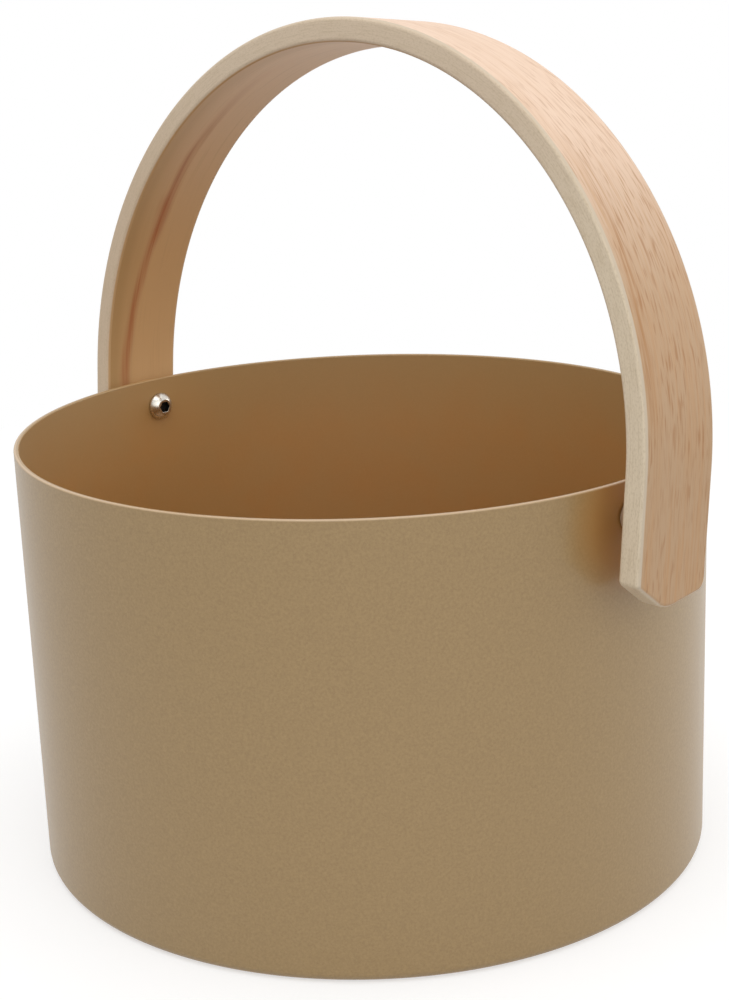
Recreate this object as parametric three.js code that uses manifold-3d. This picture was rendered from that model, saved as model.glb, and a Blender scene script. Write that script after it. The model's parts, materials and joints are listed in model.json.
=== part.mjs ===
import * as THREE from 'three';
import { mergeVertices } from 'three/addons/utils/BufferGeometryUtils.js';
import Module from 'manifold-3d';

// Sauna bucket: a straight drawn aluminium cup with a bent wooden strap as its handle.
// The strap turns on two screws. Each goes from inside the cup through the wall and a sleeve
// into a blind threaded insert in the wood, so no fastener shows on the outside.
// Millimetres, +Z up. The origin is the middle of the base, and the legs stand at -X and +X.

// Cup
const cupDiameter = 240;
const cupHeight = 150;
const wallThickness = 1.8;
const baseThickness = 2;
const baseOuterRadius = 3; // corner between base and wall, outside
const baseInnerRadius = 2; // the same corner, inside
const rimEdgeRadius = 0.5; // the cut rim is broken, not hemmed

// Handle strap
const strapWidth = 33;
const strapThickness = 8.2;
const strapEdgeRadius = 1.5;
const strapStandoff = 10; // cup wall to the leg's inner face
const pivotBelowRim = 11; // rim to the screws' axis
const legRise = 15; // screws' axis to where the arch begins
const archRise = 133; // from there to the top of the crown
const legDrop = 26; // screws' axis to the tip of the leg, before it is rounded
const tipForward = 3; // the tip lies this far in front of the leg's middle
const frontCornerRise = 9; // tip to the corner at the front edge
const backCornerRise = 4; // tip to the corner at the back edge
const tipRadius = 10;
const frontCornerRadius = 2;
const backCornerRadius = 4;
const restLean = THREE.MathUtils.degToRad(5); // the handle leans back a little, towards +Y

// Fixings: M6 button-head screws, sleeves and inserts
const screwDiameter = 6;
const screwTipChamfer = 0.8;
const screwTipGap = 2; // screw's end to the far end of the insert
const headDiameter = 10.5;
const headHeight = 3.3;
const headLand = 0.6; // straight side of the head, below its dome
const headFlatDiameter = 5.8; // flat on top, around the socket
const socketAcrossFlats = 4;
const socketDepth = 2.1;
const spacerDiameter = 10;
const spacerChamfer = 0.5;
const insertDiameter = 9;
const barbCount = 3;
const barbHeight = 0.4;
const woodOverInsert = 1.7; // between the insert's hole and the leg's outer face

// Clearances
const boreClearance = 0.2; // around the screws
const insertClearance = 0.3; // around the inserts
const seatGap = 0.3; // between faces that meet
const cutMargin = 0.1; // how far a cutter passes what it cuts

// Facets
const cupFacets = 96;
const roundFacets = 24;
const strapSteps = 72;
const arcSteps = 3;
const tipArcSteps = 8;

// Worked out from the sizes above
const cupRadius = cupDiameter / 2;
const cupInnerRadius = cupRadius - wallThickness;
const pivotHeight = cupHeight - pivotBelowRim;
const legInnerX = cupRadius + strapStandoff;
const legOuterX = legInnerX + strapThickness;
const screwBoreRadius = screwDiameter / 2 + boreClearance;
const insertHoleDepth = strapThickness - woodOverInsert;
const insertLength = insertHoleDepth - seatGap;
const headRadius = headDiameter / 2;
// The head is flat and the wall is hollow, so the head's edge meets the wall first.
const headSeatX = Math.sqrt(cupInnerRadius ** 2 - headRadius ** 2) - seatGap;

const wasm = await Module();
wasm.setup();

function toSolid(geometry) {
  const bare = geometry.clone();
  bare.deleteAttribute('normal');
  bare.deleteAttribute('uv');
  const merged = mergeVertices(bare);
  const corners = merged.index.array;
  const triVerts = [];
  for (let i = 0; i < corners.length; i += 3) {
    const [a, b, c] = corners.slice(i, i + 3);
    const collapsed = a === b || b === c || c === a; // as at the poles of a revolved profile
    if (!collapsed) triVerts.push(a, b, c);
  }
  return new wasm.Manifold(new wasm.Mesh({
    numProp: 3,
    vertProperties: new Float32Array(merged.attributes.position.array),
    triVerts: new Uint32Array(triVerts),
  }));
}

function toGeometry(solid) {
  const mesh = solid.getMesh();
  const geometry = new THREE.BufferGeometry();
  geometry.setAttribute('position', new THREE.BufferAttribute(mesh.vertProperties, 3));
  geometry.setIndex(new THREE.BufferAttribute(mesh.triVerts, 1));
  geometry.computeVertexNormals();
  return geometry;
}

// A round bar along X, from one x to the other.
function barAlongX(radius, fromX, toX) {
  const bar = new THREE.CylinderGeometry(radius, radius, toX - fromX, roundFacets);
  bar.rotateZ(-Math.PI / 2);
  bar.translate((fromX + toX) / 2, 0, 0);
  return bar;
}

// The cup's profile runs from the axis out along the base, up the wall, over the rim and back.
function cupGeometry() {
  const rimRadius = Math.min(rimEdgeRadius, wallThickness / 2 - cutMargin);
  const profile = new THREE.Path();
  profile.moveTo(0, 0);
  profile.lineTo(cupRadius - baseOuterRadius, 0);
  profile.absarc(cupRadius - baseOuterRadius, baseOuterRadius, baseOuterRadius, -Math.PI / 2, 0);
  profile.lineTo(cupRadius, cupHeight - rimRadius);
  profile.absarc(cupRadius - rimRadius, cupHeight - rimRadius, rimRadius, 0, Math.PI / 2);
  profile.absarc(cupInnerRadius + rimRadius, cupHeight - rimRadius, rimRadius, Math.PI / 2, Math.PI);
  profile.lineTo(cupInnerRadius, baseThickness + baseInnerRadius);
  profile.absarc(
    cupInnerRadius - baseInnerRadius, baseThickness + baseInnerRadius, baseInnerRadius,
    0, -Math.PI / 2, true,
  );
  profile.lineTo(0, baseThickness);
  const cup = new THREE.LatheGeometry(profile.getPoints(arcSteps), cupFacets);
  cup.rotateX(Math.PI / 2);

  const screwHoles = barAlongX(screwBoreRadius, -cupRadius - cutMargin, cupRadius + cutMargin);
  screwHoles.translate(0, 0, pivotHeight);
  return toGeometry(toSolid(cup).subtract(toSolid(screwHoles)));
}

// A flat curve stood up in the plane of X and Z.
class UprightCurve extends THREE.Curve {
  constructor(flatCurve) {
    super();
    this.flatCurve = flatCurve;
  }

  getPoint(t, target = new THREE.Vector3()) {
    const point = this.flatCurve.getPoint(t);
    return target.set(point.x, 0, point.y);
  }
}

// The middle of the strap: up one leg, over an elliptical arch and down the other leg.
function strapLine() {
  const legX = (legInnerX + legOuterX) / 2;
  const legEnd = -legDrop - cutMargin;
  const line = new THREE.CurvePath();
  line.add(new THREE.LineCurve(new THREE.Vector2(-legX, legEnd), new THREE.Vector2(-legX, legRise)));
  line.add(new THREE.EllipseCurve(0, legRise, legX, archRise - strapThickness / 2, Math.PI, 0, true));
  line.add(new THREE.LineCurve(new THREE.Vector2(legX, legRise), new THREE.Vector2(legX, legEnd)));
  return new UprightCurve(line);
}

function strapSection() {
  const x = strapWidth / 2 - strapEdgeRadius;
  const y = strapThickness / 2 - strapEdgeRadius;
  const section = new THREE.Shape();
  section.absarc(x, y, strapEdgeRadius, 0, Math.PI / 2);
  section.absarc(-x, y, strapEdgeRadius, Math.PI / 2, Math.PI);
  section.absarc(-x, -y, strapEdgeRadius, Math.PI, Math.PI * 1.5);
  section.absarc(x, -y, strapEdgeRadius, Math.PI * 1.5, Math.PI * 2);
  return section;
}

// Rounds the corner between two straight runs of an outline that turns left there.
function roundCorner(outline, from, corner, to, radius) {
  const arriving = corner.clone().sub(from);
  const leaving = to.clone().sub(corner);
  const halfTurn = arriving.angleTo(leaving) / 2;
  const inward = leaving.clone().normalize().sub(arriving.clone().normalize());
  const centre = inward.setLength(radius / Math.cos(halfTurn)).add(corner);
  const quarter = Math.PI / 2;
  outline.absarc(centre.x, centre.y, radius, arriving.angle() - quarter, leaving.angle() - quarter);
}

// The strap seen along X: straight sides, and a blunt end that is steeper at the front.
function legOutline() {
  const side = strapWidth / 2 + cutMargin;
  const top = legRise + archRise + cutMargin;
  const frontTop = new THREE.Vector2(-side, top);
  const frontCorner = new THREE.Vector2(-side, -legDrop + frontCornerRise);
  const tip = new THREE.Vector2(-tipForward, -legDrop);
  const backCorner = new THREE.Vector2(side, -legDrop + backCornerRise);
  const backTop = new THREE.Vector2(side, top);

  const outline = new THREE.Shape();
  outline.moveTo(backTop.x, backTop.y);
  outline.lineTo(frontTop.x, frontTop.y);
  roundCorner(outline, frontTop, frontCorner, tip, frontCornerRadius);
  roundCorner(outline, frontCorner, tip, backCorner, tipRadius);
  roundCorner(outline, tip, backCorner, backTop, backCornerRadius);
  return outline;
}

// The strap is swept along its line, then both ends are trimmed to the outline and drilled.
function strapGeometry() {
  const swept = new THREE.ExtrudeGeometry(strapSection(), {
    extrudePath: strapLine(),
    steps: strapSteps,
    curveSegments: arcSteps,
  });
  const trim = new THREE.ExtrudeGeometry(legOutline(), {
    depth: 2 * (legOuterX + cutMargin),
    bevelEnabled: false,
    curveSegments: tipArcSteps,
  });
  trim.translate(0, 0, -legOuterX - cutMargin);
  trim.rotateX(Math.PI / 2);
  trim.rotateZ(Math.PI / 2);

  const holeRadius = insertDiameter / 2 + insertClearance;
  const holeEnd = legInnerX + insertHoleDepth;
  return toGeometry(
    toSolid(swept)
      .intersect(toSolid(trim))
      .subtract(toSolid(barAlongX(holeRadius, legInnerX - cutMargin, holeEnd)))
      .subtract(toSolid(barAlongX(holeRadius, -holeEnd, -legInnerX + cutMargin))),
  );
}

// The screw stands on its shank along Y, with the underside of the head at y = 0.
function screwGeometry() {
  const shankRadius = screwDiameter / 2;
  const shankLength = legInnerX + insertLength - screwTipGap - headSeatX;
  const flatRadius = headFlatDiameter / 2;
  const domeHeight = headHeight - headLand;
  const domeCentre = headLand
    + (flatRadius ** 2 + domeHeight ** 2 - headRadius ** 2) / (2 * domeHeight);
  const domeRadius = Math.hypot(headRadius, headLand - domeCentre);

  const profile = new THREE.Path();
  profile.moveTo(0, -shankLength);
  profile.lineTo(shankRadius - screwTipChamfer, -shankLength);
  profile.lineTo(shankRadius, -shankLength + screwTipChamfer);
  profile.lineTo(shankRadius, 0);
  profile.lineTo(headRadius, 0);
  profile.absarc(
    0, domeCentre, domeRadius,
    Math.atan2(headLand - domeCentre, headRadius), Math.atan2(headHeight - domeCentre, flatRadius),
  );
  profile.lineTo(0, headHeight);
  const screw = new THREE.LatheGeometry(profile.getPoints(arcSteps), roundFacets);

  const socketHeight = socketDepth + cutMargin;
  const socketCorner = socketAcrossFlats / Math.sqrt(3);
  const socket = new THREE.CylinderGeometry(socketCorner, socketCorner, socketHeight, 6);
  socket.translate(0, headHeight - socketDepth + socketHeight / 2, 0);
  return toGeometry(toSolid(screw).subtract(toSolid(socket)));
}

function revolve(points) {
  const profile = [...points, points[0]].map(([x, y]) => new THREE.Vector2(x, y));
  return toGeometry(toSolid(new THREE.LatheGeometry(profile, roundFacets)));
}

function spacerGeometry() {
  const radius = spacerDiameter / 2;
  const length = strapStandoff - 2 * seatGap;
  return revolve([
    [screwBoreRadius, 0],
    [radius - spacerChamfer, 0],
    [radius, spacerChamfer],
    [radius, length - spacerChamfer],
    [radius - spacerChamfer, length],
    [screwBoreRadius, length],
  ]);
}

// The insert's barbs are steep towards the mouth of the hole, so that it can't pull out.
function insertGeometry() {
  const crest = insertDiameter / 2;
  const pitch = insertLength / barbCount;
  const points = [[screwBoreRadius, 0]];
  for (let i = 0; i < barbCount; i += 1) {
    points.push([crest, i * pitch], [crest - barbHeight, (i + 1) * pitch]);
  }
  points.push([screwBoreRadius, insertLength]);
  return revolve(points);
}

const coatedAluminium = new THREE.MeshStandardMaterial({ color: 0x9b8360, roughness: 0.55, metalness: 0.5 });
const bentWood = new THREE.MeshStandardMaterial({ color: 0xd9b48f, roughness: 0.6, metalness: 0 });
const stainlessSteel = new THREE.MeshStandardMaterial({ color: 0xc4c0b8, roughness: 0.3, metalness: 1 });
const plainAluminium = new THREE.MeshStandardMaterial({ color: 0xbfbdb4, roughness: 0.4, metalness: 1 });
const brass = new THREE.MeshStandardMaterial({ color: 0xb99a55, roughness: 0.35, metalness: 1 });

function piece(name, geometry, material) {
  const mesh = new THREE.Mesh(geometry, material);
  mesh.name = name;
  return mesh;
}

// One side's screw, sleeve and insert, on the screws' axis, with +X pointing out of the cup.
function fixing(side) {
  const screw = piece(`pivot_screw_${side}`, screwGeometry(), stainlessSteel);
  screw.rotation.z = Math.PI / 2;
  screw.position.x = headSeatX;
  const spacer = piece(`spacer_${side}`, spacerGeometry(), plainAluminium);
  spacer.rotation.z = -Math.PI / 2;
  spacer.position.x = cupRadius + seatGap;
  const insert = piece(`threaded_insert_${side}`, insertGeometry(), brass);
  insert.rotation.z = -Math.PI / 2;
  insert.position.x = legInnerX;
  const group = new THREE.Group();
  group.add(screw, spacer, insert);
  return group;
}

const rightFixing = fixing('right');
const leftFixing = fixing('left');
leftFixing.rotation.z = Math.PI;

const handle = new THREE.Group();
handle.position.z = pivotHeight;
handle.rotation.x = -restLean;
handle.add(piece('handle_strap', strapGeometry(), bentWood), rightFixing, leftFixing);

const saunaBucket = new THREE.Group();
saunaBucket.add(piece('bucket_body', cupGeometry(), coatedAluminium), handle);

export default saunaBucket;
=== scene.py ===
import json
import math

import bmesh
import bpy
from mathutils import Matrix, Vector


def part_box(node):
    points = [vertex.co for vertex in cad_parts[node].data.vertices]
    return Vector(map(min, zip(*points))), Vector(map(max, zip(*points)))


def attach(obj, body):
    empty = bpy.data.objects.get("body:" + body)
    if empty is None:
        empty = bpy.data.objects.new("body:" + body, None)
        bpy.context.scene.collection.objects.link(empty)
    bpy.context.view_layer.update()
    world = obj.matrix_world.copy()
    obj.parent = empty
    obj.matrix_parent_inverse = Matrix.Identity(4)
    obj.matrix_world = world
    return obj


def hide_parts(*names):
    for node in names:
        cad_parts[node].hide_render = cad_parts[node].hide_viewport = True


# Sauna bucket: a matt metallic cup with a bent wooden strap that swings on two screws.
# Metres, +Z up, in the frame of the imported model. The strap's legs stand at -X and +X,
# and its front edge, which the camera sees, is the one towards -Y.

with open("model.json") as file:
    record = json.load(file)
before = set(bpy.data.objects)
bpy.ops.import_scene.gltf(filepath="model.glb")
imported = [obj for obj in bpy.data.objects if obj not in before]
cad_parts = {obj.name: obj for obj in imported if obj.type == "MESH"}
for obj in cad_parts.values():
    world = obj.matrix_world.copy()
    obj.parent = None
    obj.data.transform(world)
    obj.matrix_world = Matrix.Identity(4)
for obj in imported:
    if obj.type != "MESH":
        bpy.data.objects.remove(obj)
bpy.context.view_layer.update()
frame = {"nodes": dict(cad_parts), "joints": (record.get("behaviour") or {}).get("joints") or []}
pivot = Vector(frame["joints"][0]["pos_m"])  # middle of the screws' axis
bothSides = ("left", "right")
print("frame loaded:", ", ".join(sorted(frame["nodes"])))


# Small helpers

sharpFrom = math.radians(35)  # edges that turn more than this stay sharp


def linear(hexColour):
    channels = [int(hexColour[i:i + 2], 16) / 255 for i in (1, 3, 5)]
    curve = [c / 12.92 if c <= 0.04045 else ((c + 0.055) / 1.055) ** 2.4 for c in channels]
    return (*curve, 1.0)


def perMm(size):  # how many cells of a pattern, each this many millimetres, go into a metre
    return 1000 / size


def addNode(tree, kind, settings=None, links=None):  # in links a node stands for its first output
    node = tree.nodes.new("ShaderNode" + kind)
    for name, value in (settings or {}).items():
        isSocket = isinstance(name, int) or name[0].isupper()
        if isSocket:
            node.inputs[name].default_value = value
        else:
            setattr(node, name, value)
    for name, source in (links or {}).items():
        output = source.outputs[0] if isinstance(source, bpy.types.Node) else source
        tree.links.new(output, node.inputs[name])
    return node


def selectOnly(obj):
    bpy.ops.object.select_all(action="DESELECT")
    obj.select_set(True)
    bpy.context.view_layer.objects.active = obj


def newPiece(name):  # names the primitive just added, with its place moved into its mesh
    obj = bpy.context.object
    obj.name = name
    obj.data.name = name
    bpy.ops.object.transform_apply(location=True, rotation=True, scale=True)
    return obj


def pick(kind, passes):  # in edit mode: selects the VERT, EDGE or FACE items that pass the test
    bpy.ops.mesh.select_mode(type=kind)
    bpy.ops.mesh.select_all(action="DESELECT")
    edited = bpy.context.edit_object.data
    mesh = bmesh.from_edit_mesh(edited)
    for item in {"VERT": mesh.verts, "EDGE": mesh.edges, "FACE": mesh.faces}[kind]:
        if passes(item):
            item.select_set(True)
    mesh.select_flush_mode()
    bmesh.update_edit_mesh(edited)


def applyModifier(obj, kind, **settings):
    selectOnly(obj)
    modifier = obj.modifiers.new(kind.title(), kind)
    for name, value in settings.items():
        setattr(modifier, name, value)
    bpy.ops.object.modifier_apply(modifier=modifier.name)


def cutAway(obj, cutter):
    applyModifier(obj, "BOOLEAN", operation="DIFFERENCE", solver="EXACT", object=cutter)
    bpy.data.objects.remove(cutter)


def roundBar(name, radius, fromPoint, toPoint, sides=48):  # a plain round bar between two points
    along = Vector(toPoint) - Vector(fromPoint)
    bpy.ops.object.select_all(action="DESELECT")
    bpy.ops.mesh.primitive_cylinder_add(
        vertices=sides, radius=radius, depth=along.length,
        location=(Vector(fromPoint) + Vector(toPoint)) / 2,
        rotation=along.to_track_quat("Z", "Y").to_euler(),
    )
    return newPiece(name)


def smooth(obj):  # large faces stay flat, and the small rounded edges take the turn
    selectOnly(obj)
    bpy.ops.object.shade_smooth_by_angle(angle=sharpFrom)
    applyModifier(obj, "WEIGHTED_NORMAL", keep_sharp=True)


def finishPiece(obj, body, node):
    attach(obj, body)
    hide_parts(node)
    print("piece made:", obj.name, "with", len(obj.data.polygons), "faces")


# Materials

mixFactor, mixA, mixB, mixResult = 0, 6, 7, 2  # the colour sockets of a Mix node
smoothly = {"interpolation_type": "SMOOTHSTEP"}  # for a Map Range node


def newMaterial(name):
    material = bpy.data.materials.new(name)
    material.use_nodes = True
    material.node_tree.nodes.clear()
    return material, material.node_tree


def closeMaterial(tree, settings, links):
    shader = addNode(tree, "BsdfPrincipled", settings, links)
    addNode(tree, "OutputMaterial", None, {"Surface": shader})


# Aluminium with a sprayed metallic lacquer, almost matt: the fine flakes and the thin clear coat give
# a golden brown film a broad pale gleam, which turns it gold-beige in the open and leaves it brown
# where it faces the handle or its own walls.
lacquer = {
    "flakes": [("#8d6e38", 0.3), ("#957640", 0.5), ("#9d7e48", 0.7)],  # colour, and the noise it stands at
    "flakeMm": 0.9,  # the real flakes are finer, and this is as coarse as they need to be to show
    "peelMm": 1.6,  # the sprayed film's faint ripple
    "peelHeight": 0.0002,
    "peelStrength": 0.08,
    "shader": {
        "Roughness": 0.65, "IOR": 1.55, "Specular IOR Level": 1.0,
        "Coat Weight": 0.5, "Coat IOR": 1.5, "Coat Roughness": 0.22,
    },
    "legShade": "#a87a36",  # painted shade and reflection of the legs: the film browner round the screws, under the legs
    "legShadeFrom": 0.028,  # out from the screws' axis
    "legShadeTo": 0.012,
    "inside": "#b58543",  # painted light: warmer and brighter than the outside, for the light the cup's walls give one another
    "insideShare": 0.8,  # the rest is the film of the outside
    "insidePatch": "#b98036",  # uneven spraying on the inside
    "insidePatchMm": 18,
    "insidePatchFrom": 0.4,  # of the noise
    "insidePatchTo": 0.7,
    "insidePatchShare": 0.6,
    "insideRimShade": "#a88247",  # painted shade: more olive and darker just below the rim
    "insideRimShadeDepth": 0.03,
    "rimHighlight": "#c3a47d",  # painted highlight along the front of the rim's outer edge, where the rim catches the light
    "rimHighlightDepth": 0.0005,
    "rimHighlightFrom": 0.0011,  # inwards of the wall's outer face
    "rimHighlightTo": 0.0006,
    "rimHighlightSide": (0.68, -0.73, 0),  # the way that the half of the rim with the painted highlight faces
    "rimHighlightBehind": 0.06,  # it fades out this far behind the cup's axis
}


def coatedAluminium(cupRadius, rimHeight, wall):
    material, tree = newMaterial("aluminium_satin_metallic_lacquer")
    place = addNode(tree, "TexCoord").outputs["Object"]
    height = addNode(tree, "SeparateXYZ", None, {"Vector": place}).outputs["Z"]
    flat = addNode(tree, "Mapping", {"Scale": (1, 1, 0)}, {"Vector": place})
    radius = addNode(tree, "VectorMath", {"operation": "LENGTH"}, {0: flat}).outputs["Value"]

    # The outside: the film with its flakes, with painted shade browner round the screws, where the legs
    # shade the wall and show in it
    flakes = addNode(tree, "TexNoise", {
        "Scale": perMm(lacquer["flakeMm"]), "Detail": 2.0, "Roughness": 0.7,
    }, {"Vector": place})
    film = addNode(tree, "ValToRGB", None, {"Fac": flakes})
    shades = film.color_ramp.elements
    for shade, position in lacquer["flakes"]:
        shades.new(position).color = linear(shade)
    shades.remove(shades[-1])  # the white and the black that a new ramp comes with
    shades.remove(shades[0])
    beside = addNode(tree, "Mapping", {
        "Location": (0, -pivot.y, -pivot.z), "Scale": (0, 1, 1),
    }, {"Vector": place})
    fromScrew = addNode(tree, "VectorMath", {"operation": "LENGTH"}, {0: beside}).outputs["Value"]
    # painted shade: the mask round the screws' axis, beside the legs
    onLegShade = addNode(tree, "MapRange", {
        **smoothly, "From Min": lacquer["legShadeFrom"], "From Max": lacquer["legShadeTo"],
    }, {"Value": fromScrew})
    outsideFilm = addNode(tree, "Mix", {"data_type": "RGBA", mixB: linear(lacquer["legShade"])}, {
        mixFactor: onLegShade, mixA: film,
    }).outputs[mixResult]

    # The inside: patchy, painted warmer and brighter for the light its walls give one another, and with
    # painted shade more olive towards the rim
    spray = addNode(tree, "TexNoise", {
        "Scale": perMm(lacquer["insidePatchMm"]), "Detail": 3.0,
    }, {"Vector": place})
    onPatch = addNode(tree, "MapRange", {
        "From Min": lacquer["insidePatchFrom"], "From Max": lacquer["insidePatchTo"],
        "To Max": lacquer["insidePatchShare"],
    }, {"Value": spray})
    # painted light: the inside's colour is warmer and brighter than the outside's
    patched = addNode(tree, "Mix", {
        "data_type": "RGBA", mixA: linear(lacquer["inside"]), mixB: linear(lacquer["insidePatch"]),
    }, {mixFactor: onPatch}).outputs[mixResult]
    underRimShade = addNode(tree, "MapRange", {
        "From Min": rimHeight - lacquer["insideRimShadeDepth"], "From Max": rimHeight,
    }, {"Value": height})
    insideFilm = addNode(tree, "Mix", {"data_type": "RGBA", mixB: linear(lacquer["insideRimShade"])}, {
        mixFactor: underRimShade, mixA: patched,
    }).outputs[mixResult]
    onInside = addNode(tree, "MapRange", {  # from a third of the wall's thickness inwards
        "From Min": cupRadius - wall / 3, "From Max": cupRadius - wall, "To Max": lacquer["insideShare"],
    }, {"Value": radius})
    wholeFilm = addNode(tree, "Mix", {"data_type": "RGBA"}, {
        mixFactor: onInside, mixA: outsideFilm, mixB: insideFilm,
    }).outputs[mixResult]

    # The rim: a painted highlight, pale along the front of its outer edge
    onRim = addNode(tree, "MapRange", {
        "From Min": rimHeight - lacquer["rimHighlightDepth"], "From Max": rimHeight,
    }, {"Value": height})
    onLip = addNode(tree, "MapRange", {
        "From Min": cupRadius - lacquer["rimHighlightFrom"], "From Max": cupRadius - lacquer["rimHighlightTo"],
    }, {"Value": radius})
    forward = addNode(tree, "VectorMath", {"operation": "DOT_PRODUCT", 1: lacquer["rimHighlightSide"]}, {0: place})
    onFront = addNode(tree, "MapRange", {
        "From Min": -lacquer["rimHighlightBehind"], "From Max": 0.0,
    }, {"Value": forward.outputs["Value"]})
    onFrontLip = addNode(tree, "Math", {"operation": "MULTIPLY"}, {0: onLip, 1: onFront})
    onRimHighlight = addNode(tree, "Math", {"operation": "MULTIPLY"}, {0: onRim, 1: onFrontLip})
    colour = addNode(tree, "Mix", {"data_type": "RGBA", mixB: linear(lacquer["rimHighlight"])}, {
        mixFactor: onRimHighlight, mixA: wholeFilm,
    }).outputs[mixResult]

    peel = addNode(tree, "TexNoise", {"Scale": perMm(lacquer["peelMm"]), "Detail": 1.0}, {"Vector": place})
    bump = addNode(tree, "Bump", {
        "Strength": lacquer["peelStrength"], "Distance": lacquer["peelHeight"],
    }, {"Height": peel})
    closeMaterial(tree, lacquer["shader"], {"Base Color": colour, "Normal": bump})
    return material


strapFaces = {  # how far a point has to face that way, to count a little and to count in full
    "outer": (0.3, 0.8),
    "inner": (-0.3, -0.8),
    "arris": (0.1, 0.4),
    "edge": (0.5, 0.9),
    "end": (0.4, 0.8),
}


# Beech, steam-bent, sanded and oiled thin: a pale peach crown that deepens to tan down the legs,
# which is painted light, the top lit paler and the legs shaded darker, with short fine flecks along
# the grain, greyer smooth edges and a browner inner face, where one reddish streak of heartwood runs
# up the left leg. More painted light lies on the crown's underside and the right foot's inner face,
# and painted shade on the edges and their roundings.
wood = {
    # painted light: the crown paler, as it faces up into the most light, and the legs darker tan, as they
    # face the side
    "crown": "#e8cbb3",
    "leg": "#be9c79",
    "inner": "#cca16e",
    "innerFront": "#b38d5b",  # the inner face beside its front edge
    # painted light: the crown's underside paler, for the light the floor throws up
    "innerCrown": "#f1d4b3",
    "innerRight": "#d6a064",  # painted light: the foot of the right leg, which faces the wall, is more golden for the warm light the wall throws back on it
    "arris": "#cebda6",  # the rounding beside each edge, with painted shade a little darker against the gleam it catches
    "arrisInner": "#c49c6c",
    "edge": "#decdb3",
    # painted shade: the edges darker along the crown and down the left leg
    "edgeCrown": "#d8c4ab",
    "edgeLeft": "#d0b99e",
    "edgeFibre": "#bfaa8a",
    "end": "#dfcbb0",
    "ochre": "#c08e5a",
    "fibre": "#ab7e4f",
    "fleck": "#a5713f",
    "heartwood": "#a04a18",
    "heartwoodHead": "#a04a10",
    "tanStreak": "#a9743c",
    "patternMm": {  # length along the grain, width across it, and how many finer layers
        "bands": (70, 5, 2.0),
        "grain": (30, 0.9, 3.0),
        "fibres": (9, 0.5, 2.0),
        "flecks": (8, 0.85, 1.0),
        "clumps": (24, 8, 1.0),
        "sway": (40, 40, 1.0),
        "pores": (1.0, 0.5, 1.0),
    },
    "grainFrom": 0.05,  # out from the middle of the strap
    "grainTo": 0.16,
    "crownGrain": 0.35,  # how much of the grain the crown shows
    "clumpFrom": 0.3,  # of the noise
    "clumpTo": 0.55,
    "looseFlecks": 0.2,  # how strong the flecks are outside the clumps
    "swayReach": 0.002,  # how far the streaks wander to each side
    "breakFrom": 0.4,  # of the grain's noise, where it breaks up the streaks
    "breakTo": 0.6,
    "streakCore": 0.3,  # the share of its reach over which a streak is at its full strength
    "roughness": (0.62, 0.48),
    "fibreHeight": 0.0002,
    "fibreStrength": 0.12,
    "ior": 1.47,
    # Each row lays a colour over the rows before it: what it follows, from which value to which, on
    # which face, how much of it at most, and the colour. Lengths are from the middle of the flat blank.
    "tones": [
        # painted shade: the outer face darker down the legs
        ("fromMiddle", 0.088, 0.163, "outer", 1.0, "leg"),
        ("outward", *strapFaces["inner"], "inner", 1.0, "inner"),
        ("across", -0.002, -0.008, "inner", 0.4, "innerFront"),
        ("across", -0.009, -0.0135, "inner", 0.8, "innerFront"),
        # painted light: the right foot's inner face more golden
        ("along", 0.195, 0.215, "inner", 1.0, "innerRight"),
        # painted light on the crown's underside
        ("fromMiddle", 0.17, 0.02, "inner", 1.0, "innerCrown"),
        ("across", -0.006, -0.013, "inner", 0.25, "innerFront"),
        ("bands", 0.5, 0.75, "grained", 0.35, "ochre"),
        ("grain", 0.45, 0.75, "grained", 0.5, "ochre"),
        ("fibres", 0.5, 0.75, "grained", 0.5, "fibre"),
        ("grain", 0.5, 0.8, "inner", 0.25, "innerFront"),
    ],
    "streaks": [  # each follows a line on the flat blank, from and to a place along and across it
        {
            "tint": "heartwood", "strength": 0.68, "face": "inner", "half": 0.0033, "broken": 0.4,
            "from": (-0.210, -0.0083), "to": (-0.140, -0.0020), "middle": -0.185, "reach": 0.155,
        },
        {
            "tint": "heartwoodHead", "strength": 0.38, "face": "inner", "half": 0.0045, "broken": 0.3,
            "from": (-0.150, -0.0028), "to": (-0.130, -0.0036), "middle": -0.143, "reach": 0.016,
        },
        {
            "tint": "tanStreak", "strength": 0.7, "face": "outer", "half": 0.0032, "broken": 0.9,
            "from": (0.110, -0.0085), "to": (0.165, -0.0125), "middle": 0.155, "reach": 0.06,
        },
    ],
    "marks": [  # rows as above, over the streaks
        ("flecks", 0.52, 0.7, "flecked", 0.7, "fleck"),
        # painted shade: the roundings a little darker than the edges
        ("toEdge", *strapFaces["arris"], "arris", 1.0, "arris"),
        ("outward", -0.2, -0.7, "arris", 1.0, "arrisInner"),
        ("toEdge", *strapFaces["edge"], "edge", 1.0, "edge"),
        # painted shade on the edges of the crown and the left leg
        ("fromMiddle", 0.15, 0.07, "edge", 1.0, "edgeCrown"),
        ("along", -0.05, -0.14, "edge", 1.0, "edgeLeft"),
        ("fibres", 0.45, 0.7, "edge", 0.4, "edgeFibre"),
        ("pores", 0.45, 0.7, "edge", 0.4, "edgeFibre"),
        ("toEnd", *strapFaces["end"], "end", 1.0, "end"),
        ("pores", 0.45, 0.7, "end", 0.45, "edgeFibre"),
    ],
}


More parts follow.
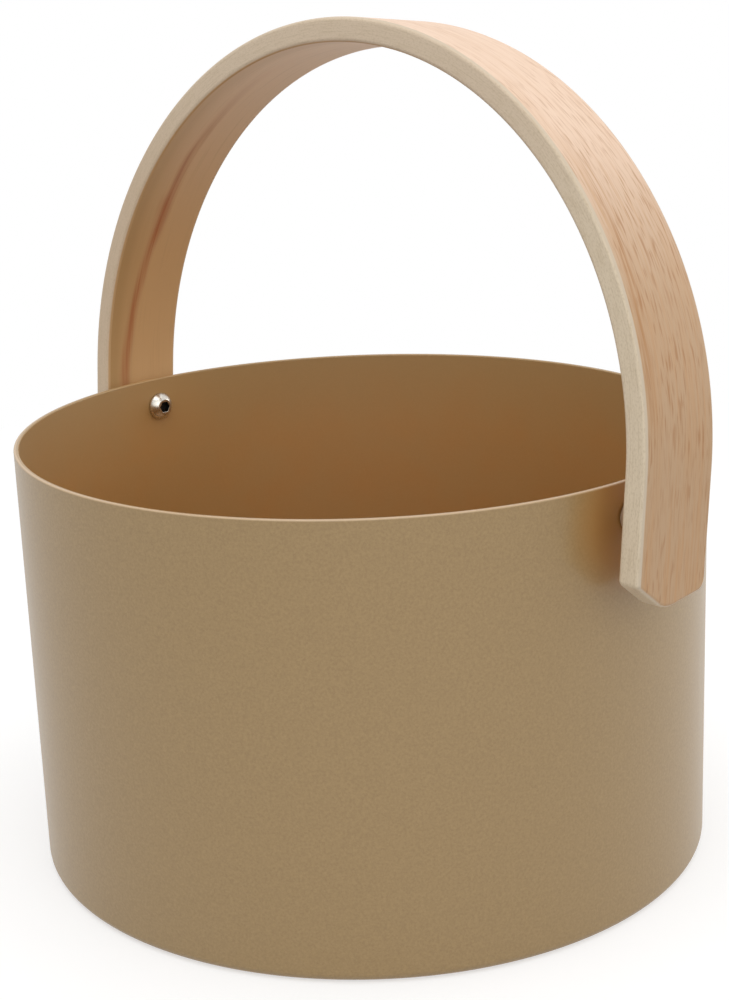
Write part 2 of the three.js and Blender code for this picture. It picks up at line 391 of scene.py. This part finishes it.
def steamBentBeech():
    material, tree = newMaterial("beech_steam_bent_oiled")
    blank = addNode(tree, "Attribute", {"attribute_name": "blank"}).outputs["Vector"]
    facing = addNode(tree, "Attribute", {"attribute_name": "facing"}).outputs["Vector"]
    along, across, _ = addNode(tree, "SeparateXYZ", None, {"Vector": blank}).outputs
    toEnd, toEdge, outward = addNode(tree, "SeparateXYZ", None, {"Vector": facing}).outputs
    fromMiddle = addNode(tree, "Math", {"operation": "ABSOLUTE"}, {0: along})

    pattern = {}
    for name, (length, width, finerLayers) in wood["patternMm"].items():
        cells = addNode(tree, "Mapping", {
            "Scale": (perMm(length), perMm(width), perMm(width)),
        }, {"Vector": blank})
        pattern[name] = addNode(tree, "TexNoise", {
            "noise_dimensions": "4D", "W": float(len(pattern)), "Scale": 1.0, "Detail": finerLayers,
        }, {"Vector": cells})

    looks = {"outer": outward, "inner": outward, "arris": toEdge, "edge": toEdge, "end": toEnd}
    masks = {}
    for name, (low, high) in strapFaces.items():
        masks[name] = addNode(tree, "MapRange", {
            **smoothly, "From Min": low, "From Max": high,
        }, {"Value": looks[name]})
    offCrown = addNode(tree, "MapRange", {
        **smoothly, "From Min": wood["grainFrom"], "From Max": wood["grainTo"],
        "To Min": wood["crownGrain"],
    }, {"Value": fromMiddle})
    masks["grained"] = addNode(tree, "Math", {"operation": "MULTIPLY"}, {0: offCrown, 1: masks["outer"]})
    clumped = addNode(tree, "MapRange", {
        **smoothly, "From Min": wood["clumpFrom"], "From Max": wood["clumpTo"],
        "To Min": wood["looseFlecks"],
    }, {"Value": pattern["clumps"]})
    masks["flecked"] = addNode(tree, "Math", {"operation": "MULTIPLY"}, {0: clumped, 1: masks["grained"]})

    sources = {
        "along": along, "across": across, "fromMiddle": fromMiddle,
        "outward": outward, "toEdge": toEdge, "toEnd": toEnd, **pattern,
    }

    def readRows(name):  # the rows of a list, with their nodes
        return [(sources[source], low, high, masks[face], most, tint)
                for source, low, high, face, most, tint in wood[name]]

    streakRows = []
    sway = addNode(tree, "MapRange", {
        "To Min": -wood["swayReach"], "To Max": wood["swayReach"],
    }, {"Value": pattern["sway"]})
    for streak in wood["streaks"]:
        (startAlong, startAcross), (endAlong, endAcross) = streak["from"], streak["to"]
        line = addNode(tree, "MapRange", {
            "From Min": startAlong, "From Max": endAlong, "To Min": startAcross, "To Max": endAcross,
        }, {"Value": along})
        aside = addNode(tree, "Math", {"operation": "SUBTRACT"}, {0: across, 1: line})
        swayed = addNode(tree, "Math", {"operation": "ADD"}, {0: aside, 1: sway})
        distance = addNode(tree, "Math", {"operation": "ABSOLUTE"}, {0: swayed})
        fromPeak = addNode(tree, "Math", {"operation": "SUBTRACT", 1: streak["middle"]}, {0: along})
        run = addNode(tree, "Math", {"operation": "ABSOLUTE"}, {0: fromPeak})
        fade = addNode(tree, "MapRange", {
            **smoothly, "From Min": streak["reach"], "From Max": streak["reach"] * wood["streakCore"],
        }, {"Value": run})
        onFace = addNode(tree, "Math", {"operation": "MULTIPLY"}, {0: fade, 1: masks[streak["face"]]})
        broken = addNode(tree, "MapRange", {
            **smoothly, "From Min": wood["breakFrom"], "From Max": wood["breakTo"],
            "To Min": 1 - streak["broken"],
        }, {"Value": pattern["grain"]})
        onStreak = addNode(tree, "Math", {"operation": "MULTIPLY"}, {0: onFace, 1: broken})
        streakRows.append((distance, streak["half"], 0.0, onStreak, streak["strength"], streak["tint"]))

    colour = None
    for source, low, high, mask, most, tint in readRows("tones") + streakRows + readRows("marks"):
        there = addNode(tree, "MapRange", {
            **smoothly, "From Min": low, "From Max": high, "To Max": most,
        }, {"Value": source})
        share = addNode(tree, "Math", {"operation": "MULTIPLY"}, {0: there, 1: mask})
        mix = addNode(tree, "Mix", {
            "data_type": "RGBA", mixA: linear(wood["crown"]), mixB: linear(wood[tint]),
        }, {mixFactor: share})
        if colour:
            tree.links.new(colour, mix.inputs[mixA])
        colour = mix.outputs[mixResult]

    dull, sleek = wood["roughness"]
    gloss = addNode(tree, "MapRange", {"To Min": dull, "To Max": sleek}, {"Value": pattern["grain"]})
    bump = addNode(tree, "Bump", {
        "Strength": wood["fibreStrength"], "Distance": wood["fibreHeight"],
    }, {"Height": pattern["fibres"]})
    closeMaterial(tree, {"IOR": wood["ior"]}, {"Base Color": colour, "Roughness": gloss, "Normal": bump})
    return material


# Stainless steel, cold formed and tumbled: a pale soft gleam.
tumbledStainless = {
    "name": "stainless_steel_tumbled", "colour": "#d6d0c6", "metallic": 1.0,
    "mottleMm": 0.8, "roughness": (0.2, 0.32),
}

# The same steel inside the socket, painted dark as the shade in its deep recess.
socketShadeSteel = {
    "name": "stainless_steel_socket_painted_shade", "colour": "#2b2622", "metallic": 0.8,
    "mottleMm": 0.5, "roughness": (0.45, 0.65),
}

# Brass, turned: warm yellow, slightly dulled.
turnedBrass = {
    "name": "brass_turned", "colour": "#c3a25c", "metallic": 1.0,
    "mottleMm": 0.6, "roughness": (0.28, 0.45),
}


def mottledMetal(metal):
    material, tree = newMaterial(metal["name"])
    place = addNode(tree, "TexCoord").outputs["Object"]
    mottle = addNode(tree, "TexNoise", {"Scale": perMm(metal["mottleMm"]), "Detail": 2.0}, {"Vector": place})
    sleek, dull = metal["roughness"]
    gloss = addNode(tree, "MapRange", {"To Min": sleek, "To Max": dull}, {"Value": mottle})
    closeMaterial(tree, {
        "Base Color": linear(metal["colour"]), "Metallic": metal["metallic"],
    }, {"Roughness": gloss})
    return material


# Aluminium, turned: a pale warm grey with fine rings around the axis.
turnedAluminium = {
    "colour": "#cfc0a8",
    "roughness": 0.45,
    "ringMm": 0.5,
    "ringHeight": 0.00005,
    "ringStrength": 0.2,
    "ringWander": 0.5,
}
wavePhase = 20  # how far a Wave node's phase runs in a metre, at a scale of 1


def ringedAluminium():
    material, tree = newMaterial("aluminium_turned")
    place = addNode(tree, "TexCoord").outputs["Object"]
    rings = addNode(tree, "TexWave", {
        "wave_type": "BANDS", "bands_direction": "X", "Distortion": turnedAluminium["ringWander"],
        "Scale": perMm(turnedAluminium["ringMm"]) * math.tau / wavePhase,
    }, {"Vector": place})
    bump = addNode(tree, "Bump", {
        "Strength": turnedAluminium["ringStrength"], "Distance": turnedAluminium["ringHeight"],
    }, {"Height": rings})
    closeMaterial(tree, {
        "Base Color": linear(turnedAluminium["colour"]), "Metallic": 1.0,
        "Roughness": turnedAluminium["roughness"],
    }, {"Normal": bump})
    return material


# The cup: a cylinder open at the top, with its base corner rounded, then given its wall

cup = {
    "sides": 192,
    "wall": 0.0018,
    "baseCorner": 0.003,
    "cornerSteps": 6,
    "rimEdge": 0.0005,
    "rimSteps": 3,
    "screwHole": 0.0064,
}


def makeCup():
    radius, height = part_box("bucket_body")[1].xz
    tiny = cup["wall"] / 100
    bpy.ops.object.select_all(action="DESELECT")
    bpy.ops.mesh.primitive_cylinder_add(
        vertices=cup["sides"], radius=radius, depth=height, location=(0, 0, height / 2),
        end_fill_type="TRIFAN",
    )
    obj = newPiece("bucket")
    bpy.ops.object.mode_set(mode="EDIT")
    pick("FACE", lambda face: face.normal.z > 0.5)  # the top
    bpy.ops.mesh.delete(type="FACE")
    pick("VERT", lambda vert: not vert.link_faces)  # the middle of the fan that was there
    bpy.ops.mesh.delete(type="VERT")
    pick("EDGE", lambda edge: all(v.co.z < tiny and v.co.xy.length > radius - tiny for v in edge.verts))
    bpy.ops.mesh.bevel(offset=cup["baseCorner"], segments=cup["cornerSteps"], affect="EDGES")
    bpy.ops.object.mode_set(mode="OBJECT")
    applyModifier(obj, "SOLIDIFY", thickness=cup["wall"], offset=-1, use_even_offset=True)

    def onRimCorner(edge):  # the rim's two round edges, without the short ones across the wall
        a, b = (v.co for v in edge.verts)
        return min(a.z, b.z) > height - tiny and abs(a.xy.length - b.xy.length) < tiny

    bpy.ops.object.mode_set(mode="EDIT")
    pick("EDGE", onRimCorner)
    bpy.ops.mesh.bevel(offset=cup["rimEdge"], segments=cup["rimSteps"], affect="EDGES")
    bpy.ops.object.mode_set(mode="OBJECT")

    reach = Vector((radius * 1.1, 0, 0))  # past the wall
    cutAway(obj, roundBar("holeCutter", cup["screwHole"] / 2, pivot - reach, pivot + reach))
    smooth(obj)
    obj.data.materials.append(coatedAluminium(radius, height, cup["wall"]))
    finishPiece(obj, "bucket", "bucket_body")


# The strap: cut flat with blunt ends, rounded along its edges and drilled, then bent over the arch

strap = {
    "width": 0.033,
    "thickness": 0.0082,
    "edge": 0.0015,
    "edgeSteps": 4,
    "edgeTurn": math.radians(60),  # edges that turn more than this are rounded
    "legRise": 0.015,  # screws' axis to where the arch begins
    "archRise": 0.133,  # from there to the top of the crown
    "legDrop": 0.026,  # screws' axis to the tip of the leg, before it is rounded
    "tipForward": 0.003,  # the tip lies this far in front of the leg's middle
    "frontCornerRise": 0.009,  # tip to the corner at the front edge
    "backCornerRise": 0.004,  # tip to the corner at the back edge
    "tipRadius": 0.010,
    "frontCornerRadius": 0.002,
    "backCornerRadius": 0.004,
    "cornerSteps": 10,
    "bendStep": 0.002,
    "pathSteps": 96,
    "lean": math.radians(5),  # towards +Y
    "insertHole": 0.0096,
    "insertDepth": 0.0065,
}
quarterHandle = 4 / 3 * (math.sqrt(2) - 1)  # handle length for a quarter of an ellipse


def strapPath():  # the strap's middle line, in X and Y, with the screws' axis at the origin
    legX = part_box("handle_strap")[1].x - strap["thickness"] / 2
    foot, bend = -strap["legDrop"], strap["legRise"]
    crown = bend + strap["archRise"] - strap["thickness"] / 2
    sideways = legX * quarterHandle
    upwards = (crown - bend) * quarterHandle
    straight = (bend - foot) / 3  # handle length for a straight leg
    stops = [  # place, then the way back and the way on
        ((-legX, foot), (0, -straight), (0, straight)),
        ((-legX, bend), (0, -straight), (0, upwards)),
        ((0, crown), (-sideways, 0), (sideways, 0)),
        ((legX, bend), (0, upwards), (0, -straight)),
        ((legX, foot), (0, straight), (0, -straight)),
    ]
    bpy.ops.object.select_all(action="DESELECT")
    bpy.ops.curve.primitive_bezier_curve_add()
    path = bpy.context.object
    path.data.dimensions = "2D"
    path.data.resolution_u = strap["pathSteps"]
    spline = path.data.splines[0]
    spline.bezier_points.add(len(stops) - len(spline.bezier_points))
    for point, (place, back, on) in zip(spline.bezier_points, stops):
        point.handle_left_type = "FREE"
        point.handle_right_type = "FREE"
        point.co = (*place, 0)
        point.handle_left = (place[0] + back[0], place[1] + back[1], 0)
        point.handle_right = (place[0] + on[0], place[1] + on[1], 0)
    return path


def flatBlank(length):  # along X with its middle at the origin, outer face up, front edge at -Y
    half = strap["width"] / 2
    foot = -length / 2
    endLength = strap["frontCornerRise"] * 1.5  # the shaped end and a little of the straight sides
    tiny = strap["bendStep"] / 100
    frontCorner = Vector((foot + strap["frontCornerRise"], -half, 0))
    tip = Vector((foot, -strap["tipForward"], 0))
    backCorner = Vector((foot + strap["backCornerRise"], half, 0))

    # One end, cut to its two slants and rounded at its three corners
    bpy.ops.object.select_all(action="DESELECT")
    bpy.ops.mesh.primitive_plane_add(size=1, location=(foot + endLength / 2, 0, 0))
    bpy.context.object.scale = (endLength, 2 * half, 1)
    obj = newPiece("handle")
    bpy.ops.object.mode_set(mode="EDIT")
    for a, b in ((frontCorner, tip), (tip, backCorner)):
        bpy.ops.mesh.select_all(action="SELECT")
        outward = Vector((a.y - b.y, b.x - a.x, 0)).normalized()
        bpy.ops.mesh.bisect(plane_co=tip, plane_no=outward, clear_outer=True)
    alongSides = Vector((1, 0, 0))
    for corner, before, after, radius in (
        (frontCorner, alongSides, tip - frontCorner, strap["frontCornerRadius"]),
        (tip, frontCorner - tip, backCorner - tip, strap["tipRadius"]),
        (backCorner, tip - backCorner, alongSides, strap["backCornerRadius"]),
    ):
        reach = radius / math.tan(before.angle(after) / 2)
        pick("VERT", lambda v: (v.co - corner).length < tiny)
        bpy.ops.mesh.bevel(offset=reach, segments=strap["cornerSteps"], affect="VERTICES")

    # From there to the middle in short steps, then the other half
    pick("EDGE", lambda edge: all(v.co.x > foot + endLength - tiny for v in edge.verts))
    bpy.ops.mesh.extrude_region_move(TRANSFORM_OT_translate={"value": (-foot - endLength, 0, 0)})
    pick("EDGE", lambda edge: edge.calc_length() > length / 4)  # the two long sides
    bpy.ops.mesh.subdivide(number_cuts=round((length / 2 - endLength) / strap["bendStep"]) - 1)
    bpy.ops.object.mode_set(mode="OBJECT")
    applyModifier(obj, "MIRROR", use_mirror_merge=True, merge_threshold=tiny)
    bpy.ops.object.mode_set(mode="EDIT")
    bpy.ops.mesh.select_all(action="SELECT")
    bpy.ops.mesh.remove_doubles(threshold=tiny)
    bpy.ops.mesh.normals_make_consistent(inside=False)
    bpy.ops.object.mode_set(mode="OBJECT")
    return obj


def makeStrap():
    path = strapPath()
    length = path.data.splines[0].calc_length()
    obj = flatBlank(length)
    halfThick = strap["thickness"] / 2
    applyModifier(obj, "SOLIDIFY", thickness=strap["thickness"], offset=0)
    applyModifier(
        obj, "BEVEL", width=strap["edge"], segments=strap["edgeSteps"],
        limit_method="ANGLE", angle_limit=strap["edgeTurn"], use_clamp_overlap=False,
    )
    for side in (-1, 1):
        holeX = side * (length / 2 - strap["legDrop"])
        mouth = (holeX, 0, -halfThick * 1.1)  # just below the inner face
        bottom = (holeX, 0, -halfThick + strap["insertDepth"])
        cutAway(obj, roundBar("drill", strap["insertHole"] / 2, mouth, bottom))

    # The grain follows the bend: each point keeps its place on the flat blank, and which way it faced.
    places = obj.data.attributes.new("blank", "FLOAT_VECTOR", "POINT").data
    for vert, place in zip(obj.data.vertices, places):
        place.vector = vert.co
    facings = obj.data.attributes.new("facing", "FLOAT_VECTOR", "POINT").data
    for vert, facing in zip(obj.data.vertices, facings):
        facing.vector = (abs(vert.normal.x), abs(vert.normal.y), vert.normal.z)

    selectOnly(obj)
    obj.location.x = length / 2
    obj.rotation_euler.x = -math.pi / 2
    bpy.ops.object.transform_apply(location=True, rotation=True)
    applyModifier(obj, "CURVE", object=path, deform_axis="POS_X")
    bpy.data.objects.remove(path)
    obj.location = pivot
    obj.rotation_euler.x = math.pi / 2 - strap["lean"]
    bpy.ops.object.transform_apply(location=True, rotation=True)
    smooth(obj)
    obj.data.materials.append(steamBentBeech())
    finishPiece(obj, "handle", "handle_strap")


# A piece that was made along Z, as the one on the right, goes onto the screws' axis with its top
# towards the inside of the cup, and its copy goes to the left.
def finishPair(obj, name, fromMiddle, node):
    selectOnly(obj)
    obj.rotation_euler.y = -math.pi / 2
    obj.location = pivot + Vector((fromMiddle, 0, 0))
    bpy.ops.object.transform_apply(location=True, rotation=True)
    bpy.ops.object.duplicate()
    other = bpy.context.object
    other.name = name + "_left"
    other.data.name = other.name
    other.rotation_euler.z = math.pi
    bpy.ops.object.transform_apply(rotation=True)
    for side, piece in zip(bothSides, (other, obj)):
        finishPiece(piece, "handle", node + "_" + side)


# The screws: a domed head with a six-sided socket, on a shank

screw = {
    "head": 0.0105,
    "headHeight": 0.0033,
    "land": 0.0006,  # straight side of the head
    "flat": 0.0058,  # across the flat top
    "shank": 0.006,
    "tipChamfer": 0.0008,
    "socketFlats": 0.004,
    "socketDepth": 0.0021,
    "edge": 0.00015,
    "edgeSteps": 2,
    "edgeTurn": math.radians(40),  # edges that turn more than this are rounded
    "sides": 64,
    "domeRings": 48,
}


def makeScrews():
    low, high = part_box("pivot_screw_right")
    top = screw["headHeight"]
    length = high.x - low.x - top
    headRadius, flatRadius, shankRadius = screw["head"] / 2, screw["flat"] / 2, screw["shank"] / 2
    socketRadius = screw["socketFlats"] / math.sqrt(3)  # out to its corners
    dome = top - screw["land"]
    centre = screw["land"] + (flatRadius ** 2 + dome ** 2 - headRadius ** 2) / (2 * dome)
    tiny = screw["edge"] / 100
    bpy.ops.object.select_all(action="DESELECT")
    bpy.ops.mesh.primitive_uv_sphere_add(
        segments=screw["sides"], ring_count=screw["domeRings"],
        radius=math.hypot(headRadius, screw["land"] - centre), location=(0, 0, centre),
    )
    obj = newPiece("screw_right")
    bpy.ops.object.mode_set(mode="EDIT")
    bpy.ops.mesh.select_all(action="SELECT")
    bpy.ops.mesh.bisect(plane_co=(0, 0, top), plane_no=(0, 0, 1), clear_outer=True, use_fill=True)
    bpy.ops.mesh.select_all(action="SELECT")
    bpy.ops.mesh.bisect(plane_co=(0, 0, screw["land"]), plane_no=(0, 0, 1), clear_inner=True)

    def extendEdge(down, scale):  # the open edge goes down, then in or out
        pick("EDGE", lambda edge: edge.is_boundary)
        bpy.ops.mesh.extrude_region_move(TRANSFORM_OT_translate={"value": (0, 0, -down)})
        bpy.ops.transform.resize(value=(scale, scale, 1))

    tipRadius = shankRadius - screw["tipChamfer"]
    extendEdge(screw["land"], 1)
    extendEdge(0, shankRadius / headRadius)
    extendEdge(length - screw["tipChamfer"], 1)
    extendEdge(screw["tipChamfer"], tipRadius / shankRadius)
    pick("EDGE", lambda edge: edge.is_boundary)
    bpy.ops.mesh.edge_face_add()
    bpy.ops.mesh.select_all(action="SELECT")
    bpy.ops.mesh.remove_doubles(threshold=tiny)
    bpy.ops.mesh.normals_make_consistent(inside=False)
    bpy.ops.object.mode_set(mode="OBJECT")

    socketFloor, aboveTop = (0, 0, top - screw["socketDepth"]), (0, 0, top * 1.5)
    cutAway(obj, roundBar("hexCutter", socketRadius, socketFloor, aboveTop, sides=6))
    applyModifier(
        obj, "BEVEL", width=screw["edge"], segments=screw["edgeSteps"],
        limit_method="ANGLE", angle_limit=screw["edgeTurn"],
    )
    smooth(obj)
    obj.data.materials.append(mottledMetal(tumbledStainless))
    obj.data.materials.append(mottledMetal(socketShadeSteel))
    # the socket's faces take the painted shade
    for face in obj.data.polygons:
        inHead = 0 < face.center.z < top - screw["edge"]
        face.material_index = int(inHead and face.center.xy.length < socketRadius)
    finishPair(obj, "screw", low.x + top, "pivot_screw")


# The sleeves between the cup's wall and the legs

sleeve = {
    "wall": 0.0018,
    "edge": 0.0005,
    "edgeSteps": 2,
    "sides": 64,
}


def makeSleeves():
    low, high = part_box("spacer_right")
    length, radius = high.x - low.x, (high.y - low.y) / 2
    tiny = sleeve["edge"] / 100
    bpy.ops.object.select_all(action="DESELECT")
    bpy.ops.mesh.primitive_cylinder_add(
        vertices=sleeve["sides"], radius=radius, depth=length, end_fill_type="NOTHING",
    )
    obj = newPiece("sleeve_right")
    applyModifier(obj, "SOLIDIFY", thickness=sleeve["wall"], offset=-1, use_even_offset=True)
    bpy.ops.object.mode_set(mode="EDIT")
    pick("EDGE", lambda edge: all(
        abs(v.co.z) > length / 2 - tiny and v.co.xy.length > radius - tiny for v in edge.verts
    ))
    bpy.ops.mesh.bevel(offset=sleeve["edge"], segments=sleeve["edgeSteps"], affect="EDGES")
    bpy.ops.object.mode_set(mode="OBJECT")
    smooth(obj)
    obj.data.materials.append(ringedAluminium())
    finishPair(obj, "sleeve", (low.x + high.x) / 2, "spacer")


def dressInserts():  # these keep their own solids, out of sight in the legs
    material = mottledMetal(turnedBrass)
    for side in bothSides:
        frame["nodes"]["threaded_insert_" + side].material_slots[0].material = material
    print("inserts dressed")


makeCup()
makeStrap()
makeScrews()
makeSleeves()
dressInserts()


# The studio: a pale floor, four soft lamps and a white surround

studio = {
    "floorRadius": 6.0,
    "floorSides": 96,
    "floorBelow": 0.0002,
    "floorBounce": 0.5,  # how much light the floor gives back to the bucket
    "floorGlow": 0.55,  # what the camera sees of it even in shadow
    "whiteFrom": 0.22,  # from this far out the floor turns white
    "whiteTo": 0.7,
    "skyTop": 0.9,  # the surround's light from straight above
    "skySide": 0.55,  # and from level or below
    "lamps": [  # name, place, width across and power
        ("softbox_above", (0.1, -0.15, 1.5), 1.4, 5.8),
        ("softbox_right", (1.36, -0.5, 0.82), 1.4, 3.5),
        ("softbox_front", (0.8, -1.1, 0.75), 1.0, 1.2),
        ("softbox_back", (0.5, 1.4, 0.45), 0.8, 3.5),
    ],
}


def seenRays(tree):  # 1 for the rays that see the background, 0 for those that gather light
    rays = addNode(tree, "LightPath").outputs
    direct = addNode(tree, "Math", {"operation": "MAXIMUM"}, {
        0: rays["Is Camera Ray"], 1: rays["Is Glossy Ray"],
    })
    return addNode(tree, "Math", {"operation": "MAXIMUM"}, {0: direct, 1: rays["Is Transmission Ray"]})


def makeFloor():
    bpy.ops.object.select_all(action="DESELECT")
    bpy.ops.mesh.primitive_circle_add(
        vertices=studio["floorSides"], radius=studio["floorRadius"], fill_type="NGON",
        location=(0, 0, -studio["floorBelow"]),
    )
    floor = newPiece("floor")
    material, tree = newMaterial("pale_floor")
    bounce = studio["floorBounce"]
    place = addNode(tree, "TexCoord").outputs["Object"]
    distance = addNode(tree, "VectorMath", {"operation": "LENGTH"}, {0: place}).outputs["Value"]
    reach = {"From Min": studio["whiteFrom"], "From Max": studio["whiteTo"]}
    seenBounce = addNode(tree, "MapRange", {**reach, "To Min": bounce, "To Max": 0.0}, {"Value": distance})
    seenGlow = addNode(tree, "MapRange", {
        **reach, "To Min": studio["floorGlow"], "To Max": 1.0,
    }, {"Value": distance})
    seenMatt = addNode(tree, "BsdfDiffuse", None, {"Color": seenBounce})
    glow = addNode(tree, "Emission", None, {"Strength": seenGlow})
    lit = addNode(tree, "AddShader", None, {0: seenMatt, 1: glow})
    matt = addNode(tree, "BsdfDiffuse", {"Color": (bounce, bounce, bounce, 1)})
    shown = addNode(tree, "MixShader", None, {0: seenRays(tree), 1: matt, 2: lit})
    under = addNode(tree, "NewGeometry").outputs["Backfacing"]  # open from below
    clear = addNode(tree, "BsdfTransparent")
    oneSided = addNode(tree, "MixShader", None, {0: under, 1: shown, 2: clear})
    addNode(tree, "OutputMaterial", None, {"Surface": oneSided})
    floor.data.materials.append(material)


def makeSky():
    world = bpy.data.worlds.new("studio")
    bpy.context.scene.world = world
    world.use_nodes = True
    tree = world.node_tree
    tree.nodes.clear()
    direction = addNode(tree, "TexCoord").outputs["Generated"]
    height = addNode(tree, "SeparateXYZ", None, {"Vector": direction}).outputs["Z"]
    level = addNode(tree, "MapRange", {
        "To Min": studio["skySide"], "To Max": studio["skyTop"],
    }, {"Value": height})
    light = addNode(tree, "Background", {"Color": (1, 1, 1, 1)}, {"Strength": level})
    white = addNode(tree, "Background", {"Color": (1, 1, 1, 1), "Strength": 1.0})
    both = addNode(tree, "MixShader", None, {0: seenRays(tree), 1: light, 2: white})
    addNode(tree, "OutputWorld", None, {"Surface": both})


def makeLamps():  # round soft boxes that point at the middle of the screws' axis
    for name, place, width, power in studio["lamps"]:
        lamp = bpy.data.lights.new(name, "AREA")
        lamp.shape = "DISK"
        lamp.size = width
        lamp.energy = power
        obj = bpy.data.objects.new(name, lamp)
        bpy.context.scene.collection.objects.link(obj)
        obj.location = place
        obj.rotation_euler = (pivot - Vector(place)).to_track_quat("-Z", "Y").to_euler()


# The camera: fitted to the outlines of the cup and the strap, for a picture of 729 by 1000

view = {
    "place": (0.45899, -0.41947, 0.29898),
    "lens": 65.567,  # in millimetres, as is the sensor
    "sensor": 36.0,  # along the picture's long side
    "heading": math.radians(47.539),  # from +Y towards -X
    "down": math.radians(15.926),
    "roll": math.radians(-2.196),
}


def makeCamera():
    lens = bpy.data.cameras.new("camera")
    lens.lens = view["lens"]
    lens.sensor_width = view["sensor"]
    camera = bpy.data.objects.new("camera", lens)
    bpy.context.scene.collection.objects.link(camera)
    camera.matrix_world = (
        Matrix.Translation(view["place"])
        @ Matrix.Rotation(view["heading"], 4, "Z")
        @ Matrix.Rotation(math.pi / 2 - view["down"], 4, "X")
        @ Matrix.Rotation(view["roll"], 4, "Z")
    )
    bpy.context.scene.camera = camera


makeFloor()
makeSky()
makeLamps()
makeCamera()
bpy.context.scene.view_settings.view_transform = "Standard"
print("studio and camera set")
